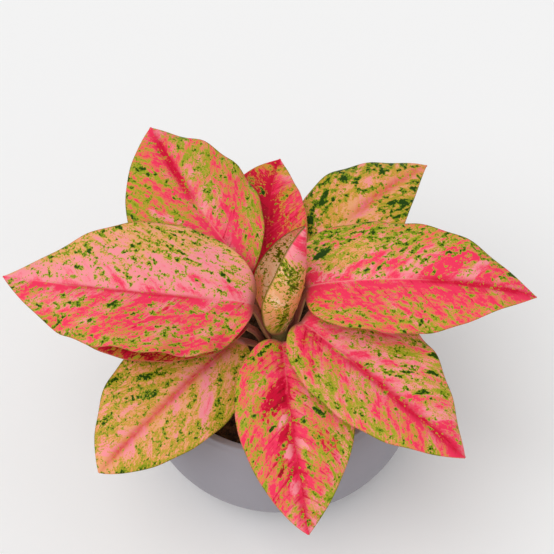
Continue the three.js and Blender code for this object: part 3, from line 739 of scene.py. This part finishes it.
# Layers of colour, from below: the fields that show one, with where each sets in and where it is
# full; the layer's strength; and its tint.
# The palest layer also carries a painted highlight and painted light on the rolled leaf, and the
# darkest crimson layer carries painted shade.
FLESH_LAYERS = (
    ({"pale": (0.1, 0.9)}, 1, "salmon"),
    ({"pale": (1.1, 1.8)}, 1, "peach"),
    ({"pale": (2.2, 3.0)}, 1, "cream"),
    ({"haze": (0.0, 0.4)}, 0.2, "peach"),
    ({"deep": (0.3, 0.9)}, 1, "crimson"),
    ({"deep": (1.2, 2.0)}, 1, "darkest_crimson_and_shade"),
)
FLECK_LAYERS = (
    ({"haze": (0.2, 0.65), "speck": (0.12, 0.32)}, 0.7, "ochre"),
    ({"haze": (0.45, 0.95), "speck": (0.28, 0.46)}, 0.9, "lime"),
    ({"haze": (0.8, 1.5)}, 0.55, "green"),
    ({"speck": (0.5, 0.7)}, 0.95, "green"),
    ({"speck": (0.92, 1.18)}, 1, "dark_green"),
)

# Half-widths of what is painted: the zone beside the midrib that flecks keep off, the midrib's line
# and the crease between two swellings, which holds painted shade; and how wide and strong the rim
# is, open or rolled.
MIDRIB_ZONE = 6 * MM
MIDRIB_LINE = 0.5 * MM
CREASE = 0.6 * MM
RIM = {False: (0.9 * MM, 0.7), True: (2.0 * MM, 0.95)}
RIM_FULL = 0.2 * MM

# What these places take from haze and specks or add to crimson (in the creases, as painted shade),
# and how far specks go with haze.
LESS_AT_MIDRIB = 0.2
LESS_IN_BAND = 0.4
LESS_AT_TIP = 0.5
LESS_IN_CREASE = 0.2
LESS_ON_STALK = 3.0
PAINTED_SHADE_IN_CREASE = 0.25
SPECKS_IN_HAZE = 0.2

# Where each of these begins and ends to fade; the strength of the underside's colour and of what
# dulls the rolled leaf's green; and how far apart in the noise halves and leaves lie.
BAND_FADE = 0.1
TIP_FADE = (0.9, 1.0)
LINE_FADE = (0.98, 0.7)
STALK_FADE = (0.0, 0.35)
RIM_GREENING = (0.45, 0.7)
PATCH_EDGE = (1.25, 0.65)
PATCH_RAGGEDNESS = 2.2
UNDERSIDE = 0.55
DULLING = 0.45
CELL_SIZE = 1.6 * MM
HALVES_APART = 3.0
LEAVES_APART = 7.0

# What the finish reads at each point of a leaf, as stored on its mesh.
Facts = namedtuple("Facts", "along across upper share out to_margin start reach side on_stalk")


def leaf_noises(finish, at, look):
    """Noises over a leaf, from -0.5 to 0.5. Those over start and reach follow its lateral veins."""
    seed = at.side * HALVES_APART + look.seed * LEAVES_APART
    grain = look.grain

    def noise(u, v, size_mm, depth, detail, roughness=0.55, distortion=0.0):
        wide, long = size_mm
        place = finish.vector(u * (1 / (wide * MM)), v * (1 / (long * MM)), seed + depth)
        return finish.noise(place, 1.0, detail, roughness, distortion) - 0.5

    cell_place = finish.vector(at.along, at.across, seed * MM)
    return {
        "broad": noise(at.start, at.reach, (20, 32), 0.0, 1.0),
        "cloud": noise(at.start, at.reach, (9, 11), 3.0, 2.0),
        "blobs": noise(at.start, at.reach, (5 * grain, 5 * grain), 7.0, 3.0, 0.6, 0.4),
        "streak": noise(at.start, at.reach, (2, 18), 13.0, 3.0, 0.6),
        "spots": noise(at.along, at.across, (3.8 * grain, 3.8 * grain), 5.0, 2.0, 0.6, 0.5),
        "fine": noise(at.along, at.across, (1.1, 1.1), 11.0, 2.0),
        "cell": finish.cells(cell_place, CELL_SIZE * grain) - 0.5,
    }


def leaf_fields(at, look, noises, in_band, vein_spacing):
    """Haze, specks, paleness and crimson at each point: the look's own amounts, mottled by the
    noises, changed along the midrib, band, tip, creases and stalk, and raised in the patches.
    The crimson added in the creases is painted shade."""
    left_half = at.side.step(-0.5, 0.5)
    fields = {}
    for name, weights in NOISE_WEIGHTS.items():
        left_in, left_out, right_in, right_out = getattr(look, name)
        inner = left_half * (left_in - right_in) + right_in
        outer = left_half * (left_out - right_out) + right_out
        shares = (noises[key] * weight for key, weight in weights.items())
        fields[name] = sum(shares, inner + (outer - inner) * at.out)
    at_midrib = at.across.bell(MIDRIB_ZONE) * LESS_AT_MIDRIB
    at_tip = at.share.step(*TIP_FADE) * LESS_AT_TIP
    # Creases between two swellings: less lime, and more crimson as painted shade.
    crease = at.start.math("PINGPONG", vein_spacing / 2).bell(CREASE)
    haze = fields["haze"] - at_midrib - in_band * LESS_IN_BAND - at_tip
    specks = fields["speck"] + haze * SPECKS_IN_HAZE
    fields["speck"] = specks - at_midrib - at.on_stalk * LESS_ON_STALK
    fields["haze"] = haze - crease * LESS_IN_CREASE
    fields["deep"] = fields["deep"] + crease * PAINTED_SHADE_IN_CREASE
    for patch in (Patch(*row) for row in look.patches):
        where = patch_mask(at.start, at.reach * at.side, patch, noises["blobs"])
        for name in fields:
            fields[name] = fields[name] + where * getattr(patch, name)
    return fields


def leaf_finish(leaf, plant, tints):
    """Waxy leaf, in layers: pink flesh, paler or deeper in streaks along the lateral veins, and
    deeper in the creases between swellings as painted shade; a crimson band along the midrib; a
    haze of lime and green specks, both with ochre edges, strung along the veins; then the
    midrib's line, the rim, the stalk and the duller underside."""
    look = leaf.look
    rolled = leaf.stalk is None
    finish = Finish("skin_of_" + leaf.name)
    facts = [
        fact for name in ("blade_place", "blade_share", "blade_vein")
        for fact in finish.parts(finish.attribute(name))]
    at = Facts(*facts, finish.attribute("stalk", 2))
    noises = leaf_noises(finish, at, look)
    strength, width, low, high = look.band
    in_band = at.across.bell(width * MM) * at.share.step(low - BAND_FADE, low + BAND_FADE)
    in_band = in_band * at.share.step(high + BAND_FADE, high - BAND_FADE)
    fields = leaf_fields(at, look, noises, in_band, plant.vein_spacing)

    own = {name: Vector(getattr(tints, name)) for _, _, name in FLESH_LAYERS + FLECK_LAYERS}
    own["lime"] = own["lime"].lerp(own["ochre"], look.tan)
    if rolled:
        own["dark_green"] = own["dark_green"].lerp(Vector(tints.green_margin), DULLING)

    def layered(skin, layers):
        for limits, full, name in layers:
            first, *others = (fields[field].step(*ends) for field, ends in limits.items())
            amount = first.math("MAXIMUM", *others) if others else first
            skin = finish.mix(amount * full, skin, own[name])
        return skin

    skin = layered(tints.hot_pink, FLESH_LAYERS)
    band = in_band * strength * (1 + noises["cloud"] * 2.0 + noises["streak"])
    skin = finish.mix(band, skin, tints.crimson)
    skin = layered(skin, FLECK_LAYERS)
    line = at.across.bell(MIDRIB_LINE) * at.share.step(*LINE_FADE) * look.line * (1 - in_band)
    rim_width, rim_strength = RIM[rolled]
    greenness = 1.0 if rolled else fields["haze"].step(*RIM_GREENING)
    below = 0.0 if rolled else (1 - at.upper.step(0.4, 0.6)) * UNDERSIDE
    for amount, tint_over in (
            (line, tints.midrib),
            (at.to_margin.step(rim_width, RIM_FULL) * rim_strength,
             finish.mix(greenness, tints.margin, tints.green_margin)),
            (at.on_stalk.step(*STALK_FADE), tints.stalk),
            (below, tints.underside)):
        skin = finish.mix(amount, skin, tint_over)

    pores = finish.grain(900.0, 2.0)
    finish.set(
        Base_Color=skin,
        Roughness=0.4 + pores * 0.16,
        Normal=finish.bump(pores + noises["streak"] * 1.5, 0.25, 0.12 * MM),
        Specular_IOR_Level=0.1,
        Coat_Weight=0.02,
        Coat_Roughness=0.3)
    return finish.material


def patch_mask(start, reach, patch, mottle):
    """1 in a ragged patch that lies along a lateral vein, 0 outside it."""
    across = (start - patch.start * MM) * (1 / (patch.wide * MM))
    along = (reach - patch.out * MM) * (1 / (patch.long * MM))
    distance = (across * across + along * along).math("SQRT")
    return (distance + mottle * PATCH_RAGGEDNESS).step(*PATCH_EDGE)


def glazed_finish(tints):
    """Matt grey stoneware: a faint cloudiness and a fine grain."""
    finish = Finish("matt_grey_stoneware")
    cloud = finish.grain(18.0, 3.0)
    grain = finish.grain(1400.0, 2.0)
    shade = cloud.step(0.3, 0.7) * 0.6
    finish.set(
        Base_Color=finish.mix(shade, tints.pot, tints.pot_shade),
        Roughness=0.5 + grain * 0.15,
        Normal=finish.bump(grain, 0.12, 0.1 * MM),
        Specular_IOR_Level=0.4)
    return finish.material


def soil_finish(tints):
    """Potting soil: dark peat with paler fibres and grit."""
    finish = Finish("potting_soil")
    coarse = finish.grain(160.0, 5.0, 0.65)
    fine = finish.grain(900.0, 3.0, 0.6)
    body = finish.mix(coarse.step(0.35, 0.7), tints.soil, tints.soil_pale)
    finish.set(
        Base_Color=finish.mix(fine.step(0.62, 0.75) * 0.5, body, tints.soil_grit),
        Roughness=0.8 + fine * 0.2,
        Normal=finish.bump(fine + coarse, 0.6, 1.0 * MM),
        Specular_IOR_Level=0.2)
    return finish.material


def cane_finish(tints):
    """Cane: pale olive, browner and corky at its rings."""
    finish = Finish("ringed_cane")
    place = finish.place()
    mottle = finish.noise(place, 120.0, 4.0, 0.6)
    _, _, height = finish.parts(place)
    rings = finish.noise(finish.vector(0.0, 0.0, height * 260.0), 1.0, 3.0)
    amount = (mottle * 0.6 + rings * 0.6).step(0.5, 0.75)
    finish.set(
        Base_Color=finish.mix(amount, tints.cane, tints.cane_bark),
        Roughness=0.5 + mottle * 0.2,
        Normal=finish.bump(mottle + rings, 0.5, 0.5 * MM),
        Specular_IOR_Level=0.35)
    return finish.material


def floor_finish(studio):
    """Plain pale floor."""
    finish = Finish("pale_floor")
    finish.set(Base_Color=(*studio.floor_colour, 1), Roughness=0.9, Specular_IOR_Level=0.1)
    return finish.material


# ---- properties


def tint(key, description, *screen):
    """A colour property named after its key; the default is as it looks on a screen, 0 to 255."""
    screen = np.array(screen) / 255
    linear = np.where(screen <= 0.04045, screen / 12.92, ((screen + 0.055) / 1.055) ** 2.4)
    return FloatVectorProperty(
        name=key.replace("_", " ").capitalize(), description=description, subtype="COLOR",
        min=0, max=1, default=linear.tolist())


def length(name, description, millimetres):
    """A length property; the default is given in millimetres."""
    return FloatProperty(
        name=name, description=description, subtype="DISTANCE", unit="LENGTH", min=0,
        default=millimetres * MM)


def number(name, description, default, **more):
    """A plain number property, or an angle in radians."""
    return FloatProperty(name=name, description=description, default=float(default), **more)


class EvergreenPlant(bpy.types.PropertyGroup):
    """Sizes of the leaves."""

    blade_thickness: length("Blade thickness", "Thickness of a blade between its veins", 0.6)
    vein_spacing: length("Vein spacing", "Distance between lateral veins at the midrib", 8.5)
    vein_relief: length("Vein relief", "How far a blade swells between lateral veins", 0.35)
    groove_depth: length("Groove depth", "Depth of the groove along the midrib", 0.9)
    ridge_height: length("Ridge height", "Height of the fine ridge in that groove", 0.5)
    ridge_width: length("Ridge width", "Half-width of that ridge", 0.7)


class EvergreenPot(bpy.types.PropertyGroup):
    """Sizes of the pot and of the soil in it."""

    belly_height: length("Belly height", "Height at which the bowl is widest", 64)
    rim_radius: length("Rim radius", "Outer radius of the rim", 98)
    base_radius: length("Base radius", "Radius of the flat base", 60)
    wall: length("Wall", "Thickness of the wall", 6)
    rim_rounding: length("Rim rounding", "Radius of the rim's edges", 1.8)
    soil_crown: length("Soil crown", "How much higher the soil stands round the cane", 7)
    crumbs: IntProperty(
        name="Crumbs", description="Number of loose crumbs on the soil", default=900, min=0)


TINTS = {
    "hot_pink": ("Flesh of the leaves", 250, 56, 96),
    "salmon": ("Paler flesh", 255, 150, 160),
    "peach": ("Paler flesh, towards the margins", 242, 172, 120),
    # The palest flesh tint is the rolled leaf's own, made pinker and lighter as painted light: the
    # highlight on the roll and the shaded inside of it.
    "cream": ("Palest flesh, on the rolled leaf", 255, 220, 182),
    "crimson": ("Flesh beside the midribs and low on the leaves", 212, 10, 54),
    # The darkest crimson is the leaves' deepest pigment and also painted shade, as on the lower
    # left leaf that lies under the left one.
    "darkest_crimson_and_shade": ("Flesh where it is darkest", 150, 14, 24),
    "ochre": ("Halo round the flecks", 228, 146, 60),
    "lime": ("Yellow-green of the flecks", 158, 174, 30),
    "green": ("Green of the flecks", 118, 146, 10),
    "dark_green": ("Middle of the flecks", 34, 68, 0),
    "midrib": ("Fine ridge of the midrib", 252, 178, 168),
    "margin": ("Line along the margins", 214, 120, 88),
    "green_margin": ("The same line where the leaf is green", 112, 100, 20),
    "stalk": ("Stalks", 160, 94, 80),
    "underside": ("Undersides of the leaves", 196, 150, 96),
    "pot": ("Stoneware of the pot", 154, 150, 158),
    "pot_shade": ("Faint clouds on the pot", 146, 142, 150),
    "soil": ("Peat", 44, 31, 22),
    "soil_pale": ("Fibres in the peat", 92, 68, 46),
    "soil_grit": ("Grit in the peat", 150, 130, 104),
    "cane": ("Smooth parts of the cane", 150, 140, 84),
    "cane_bark": ("Corky rings of the cane", 112, 84, 56),
}


class EvergreenTints(bpy.types.PropertyGroup):
    """Colours of the plant, the soil and the pot."""

    __annotations__ = {key: tint(key, *row) for key, row in TINTS.items()}


class EvergreenStudio(bpy.types.PropertyGroup):
    """Camera, light and floor."""

    elevation: number(
        "Elevation", "Camera's angle above level", np.radians(50), subtype="ANGLE")
    field: number(
        "Field of view", "Camera's field of view",
        2 * np.arctan(PHOTO_HALF_WIDTH / PHOTO_FOCAL_LENGTH), subtype="ANGLE")
    distance: length("Distance", "From the camera to its target", 850)
    target: FloatVectorProperty(
        name="Target", description="Where the camera looks", subtype="XYZ", unit="LENGTH",
        default=(-2 * MM, -11 * MM, 200 * MM))
    floor_colour: tint("floor", "Pale floor", 250, 250, 250)
    floor_size: length("Floor size", "Side of the floor", 12000)
    sun_strength: number("Key light", "Strength of the soft key light", 1.25)
    sun_spread: number(
        "Key spread", "Apparent size of the key light", np.radians(60), subtype="ANGLE")
    sky: number("Sky", "Brightness of the light from all round", 0.6)


# ---- operators


def add_leaf(leaf, name, slot, scene):
    """Builds a leaf as the piece that replaces its node."""
    rings, facts = leaf_rings(leaf, scene.evergreen_plant)
    material = leaf_finish(leaf, scene.evergreen_plant, scene.evergreen_tints)
    add_piece(ringed_mesh(name, rings, facts), slot, material, leaf.name)


class EVERGREEN_OT_make_leaves(bpy.types.Operator):
    """Builds the nine open leaves, each blade with its stalk"""

    bl_idname = "evergreen.make_leaves"
    bl_label = "Make open leaves"

    def execute(self, context):
        for leaf in LEAVES:
            add_leaf(leaf, leaf.name + "_blade_and_stalk", "leaf", context.scene)
        return {"FINISHED"}


class EVERGREEN_OT_make_young_leaf(bpy.types.Operator):
    """Builds the youngest leaf, still rolled into a funnel"""

    bl_idname = "evergreen.make_young_leaf"
    bl_label = "Make rolled leaf"

    def execute(self, context):
        add_leaf(YOUNG_LEAF, "leaf_young_rolled", "young_leaf", context.scene)
        return {"FINISHED"}


class EVERGREEN_OT_make_cane(bpy.types.Operator):
    """Builds the ringed cane that the leaves grow from"""

    bl_idname = "evergreen.make_cane"
    bl_label = "Make cane"

    def execute(self, context):
        places, around = CANE_GRID
        height = np.linspace(CANE_LOW.z, CANE_HIGH.z, places)
        spacing = (CANE_HIGH.z - CANE_LOW.z) / (CANE_NODES + 1)
        from_node = np.abs((height - CANE_LOW.z) / spacing % 1 - 0.5) - 0.5
        raised = NODE_RELIEF * bell(from_node * spacing, NODE_HALF_WIDTH)
        rings = lathe_rings(cane_radius(height) + raised, 0 * height, around)
        mesh = ringed_mesh("ringed_cane", rings + cane_axis(height)[:, None])
        add_piece(mesh, "cane", cane_finish(context.scene.evergreen_tints), "cane")
        return {"FINISHED"}


def bowl_radius(height, pot):
    """Outer radius of the bowl: an ellipse from belly to rim and a tighter one down to the base."""
    belly = POT_HIGH.x
    top = POT_HIGH.z - pot.belly_height
    reach = top / np.sqrt(1 - (pot.rim_radius / belly) ** 2)
    above = belly * np.sqrt(np.clip(1 - ((height - pot.belly_height) / reach) ** 2, 0, 1))
    down = np.clip((pot.belly_height - height) / pot.belly_height, 0, 1)
    below = pot.base_radius + (belly - pot.base_radius) * np.sqrt(1 - down ** 2)
    return np.where(height >= pot.belly_height, above, below)


class EVERGREEN_OT_make_pot(bpy.types.Operator):
    """Builds the bowl pot"""

    bl_idname = "evergreen.make_pot"
    bl_label = "Make pot"

    def execute(self, context):
        pot = context.scene.evergreen_pot
        top = POT_HIGH.z - pot.rim_rounding
        turn = {
            name: np.linspace(0, np.pi / 2, POT_GRID[name]) for name in ("low", "rim", "corner")}
        low = pot.belly_height * (1 - np.cos(turn["low"]))
        high = np.linspace(pot.belly_height, top, POT_GRID["high"])
        outside = np.concatenate([low, high[1:]])
        floor = pot.wall + FLOOR_CORNER
        inside = np.linspace(top, floor, POT_GRID["inside"])[1:]
        corner = turn["corner"][1:]
        corner_centre = bowl_radius(np.array(floor), pot) - floor
        cos, sin = (pot.rim_rounding * wave(turn["rim"]) for wave in (np.cos, np.sin))
        outer = pot.rim_radius - pot.rim_rounding
        inner = pot.rim_radius - pot.wall + pot.rim_rounding
        radius = np.concatenate([
            [ALMOST_AXIS], bowl_radius(outside, pot)[:-1], outer + cos, inner - sin,
            bowl_radius(inside, pot) - pot.wall, corner_centre + FLOOR_CORNER * np.cos(corner),
            [ALMOST_AXIS]])
        height = np.concatenate([
            [0], outside[:-1], top + sin, top + cos, inside,
            floor - FLOOR_CORNER * np.sin(corner), [pot.wall]])
        mesh = ringed_mesh("bowl_pot", lathe_rings(radius, height, POT_GRID["around"]))
        add_piece(mesh, "pot", glazed_finish(context.scene.evergreen_tints), "pot")
        return {"FINISHED"}


def soil_surface(x, y, pot):
    """Height of the soil: level at the wall, a Gaussian crown round the cane, and three sizes of
    clod as value noise."""
    crown = pot.soil_crown * bell(np.hypot(x, y), CROWN_RADIUS)
    clods = sum(
        size * MM * lattice_noise(x / (spacing * MM), y / (spacing * MM), seed)
        for size, spacing, seed in CLODS)
    return soil_level() + crown + clods


class EVERGREEN_OT_make_soil(bpy.types.Operator):
    """Builds the soil with its clods and loose crumbs"""

    bl_idname = "evergreen.make_soil"
    bl_label = "Make soil"

    def execute(self, context):
        pot = context.scene.evergreen_pot
        material = soil_finish(context.scene.evergreen_tints)
        wall = pot.rim_radius - pot.wall - CLEARANCE
        hole = CANE_RADII[0] + NODE_RELIEF + CLEARANCE
        places, around = SOIL_GRID
        top = np.linspace(wall, hole, places)
        bottom = np.array(SOIL_BOTTOM) * wall
        radius = np.concatenate([[ALMOST_AXIS], bottom, top, [hole, ALMOST_AXIS]])
        height = np.full(len(radius), SOIL_HIGH.z - HOLE_BOTTOM)
        height[:3] = np.array([0, 0, FLOOR_CORNER]) + SOIL_LOW.z
        rings = lathe_rings(radius, height, around)
        surface = rings[3:-2]
        surface[..., 2] = soil_surface(surface[..., 0], surface[..., 1], pot)
        add_piece(ringed_mesh("potting_soil", rings), "soil", material, "soil")
        add_piece(crumb_mesh(pot, wall, hole), "soil", material)
        return {"FINISHED"}


def crumb_mesh(pot, wall, hole):
    """Loose crumbs: one rough octahedral lump, stretched, turned and set into the soil at seeded
    random places, all in one mesh."""
    random = np.random.default_rng(CRUMB_SEED)
    count = pot.crumbs
    lump, faces = rough_lump()
    inner, outer = CRUMB_AREA
    spread = np.sqrt(random.uniform((hole / wall) ** 2 * inner, outer, count)) * wall
    turn = random.uniform(0, 2 * np.pi, count)
    x, y = spread * np.cos(turn), spread * np.sin(turn)
    size = random.lognormal(np.log(CRUMB_SIZE), CRUMB_VARIATION, (count, 1))
    size = size * random.uniform(*CRUMB_STRETCH, (count, 3))
    spin = random.uniform(0, 2 * np.pi, count)
    wobble = random.uniform(*CRUMB_ROUGHNESS, (count, len(lump), 1))
    points = lump[None] * size[:, None] * wobble
    cos, sin = np.cos(spin)[:, None], np.sin(spin)[:, None]
    turned = np.stack([
        points[..., 0] * cos - points[..., 1] * sin,
        points[..., 0] * sin + points[..., 1] * cos, points[..., 2]], -1)
    centre = np.stack([x, y, soil_surface(x, y, pot) + size[:, 2] * CRUMB_LIFT], -1)
    offset = (np.arange(count) * len(lump))[:, None, None]
    faces = (faces[None] + offset).reshape(-1, 3).tolist()
    return new_mesh("soil_crumbs", (turned + centre[:, None]).reshape(-1, 3), faces)


def rough_lump():
    """An octahedron, its edges halved and pushed out to the unit sphere: 18 points, 32 faces."""
    corners = np.array(
        [(1, 0, 0), (0, 1, 0), (-1, 0, 0), (0, -1, 0), (0, 0, 1), (0, 0, -1)], float)
    sides = [(0, 1), (1, 2), (2, 3), (3, 0)]
    coarse = [(a, b, 4) for a, b in sides] + [(b, a, 5) for a, b in sides]
    points, middles, faces = list(corners), {}, []

    def middle(a, b):
        key = (min(a, b), max(a, b))
        if key not in middles:
            middles[key] = len(points)
            points.append(unit(corners[a] + corners[b]))
        return middles[key]

    for a, b, c in coarse:
        ab, bc, ca = middle(a, b), middle(b, c), middle(c, a)
        faces += [(a, ab, ca), (ab, b, bc), (ca, bc, c), (ab, bc, ca)]
    return np.array(points), np.array(faces)


class EVERGREEN_OT_make_stage(bpy.types.Operator):
    """Builds the pale floor, the soft light and the camera"""

    bl_idname = "evergreen.make_stage"
    bl_label = "Make stage"

    def execute(self, context):
        scene = context.scene
        studio = scene.evergreen_studio
        half = studio.floor_size / 2
        corners = [(-half, -half, 0), (half, -half, 0), (half, half, 0), (-half, half, 0)]
        mesh = new_mesh("pale_floor", corners, [(0, 1, 2, 3)])
        mesh.materials.append(floor_finish(studio))
        floor = add_object(mesh)

        add_key_light(studio)
        world = bpy.data.worlds.new("soft_sky")
        world.use_nodes = True
        background = world.node_tree.nodes["Background"]
        background.inputs["Color"].default_value = (1, 1, 1, 1)
        background.inputs["Strength"].default_value = studio.sky
        scene.world = world
        scene.view_settings.view_transform = "Standard"

        back = Vector((0, -np.cos(studio.elevation), np.sin(studio.elevation)))
        data = bpy.data.cameras.new("photo_camera")
        data.angle = studio.field
        camera = add_object(data)
        camera.location = Vector(studio.target) + back * studio.distance
        look_along(camera, -back)
        scene.camera = camera
        return {"FINISHED"}


def look_along(thing, direction):
    """Turns a camera or a light to look along a direction, level with the horizon."""
    thing.rotation_mode = "QUATERNION"
    thing.rotation_quaternion = direction.to_track_quat("-Z", "Y")


def add_key_light(studio):
    """A broad soft key light from the upper left, a little in front of the plant."""
    data = bpy.data.lights.new("window_light", "SUN")
    data.energy = studio.sun_strength
    data.angle = studio.sun_spread
    light = add_object(data)
    light.location = WINDOW
    look_along(light, -WINDOW)


# ---- panel and registration

STEPS = (
    "make_pot", "make_soil", "make_cane", "make_leaves", "make_young_leaf", "make_stage")
GROUPS = {
    "evergreen_plant": EvergreenPlant,
    "evergreen_pot": EvergreenPot,
    "evergreen_tints": EvergreenTints,
    "evergreen_studio": EvergreenStudio,
}


class EVERGREEN_PT_sidebar(bpy.types.Panel):
    """Lists the steps and their settings"""

    bl_label = "Chinese evergreen"
    bl_idname = "EVERGREEN_PT_sidebar"
    bl_space_type = "VIEW_3D"
    bl_region_type = "UI"
    bl_category = "Evergreen"

    def draw(self, context):
        for step in STEPS:
            self.layout.operator("evergreen." + step)
        for name in GROUPS:
            group = getattr(context.scene, name)
            box = self.layout.box()
            for key in group.bl_rna.properties.keys():
                if key not in ("rna_type", "name"):
                    box.prop(group, key)


CLASSES = (
    *GROUPS.values(), EVERGREEN_OT_make_pot, EVERGREEN_OT_make_soil, EVERGREEN_OT_make_cane,
    EVERGREEN_OT_make_leaves, EVERGREEN_OT_make_young_leaf, EVERGREEN_OT_make_stage,
    EVERGREEN_PT_sidebar)


def register():
    for made in CLASSES:
        bpy.utils.register_class(made)
    for name, group in GROUPS.items():
        setattr(bpy.types.Scene, name, PointerProperty(type=group))


def unregister():
    for name in GROUPS:
        delattr(bpy.types.Scene, name)
    for made in reversed(CLASSES):
        bpy.utils.unregister_class(made)


def main():
    register()
    for step in STEPS:
        getattr(bpy.ops.evergreen, step)()


if __name__ == "__main__":
    main()
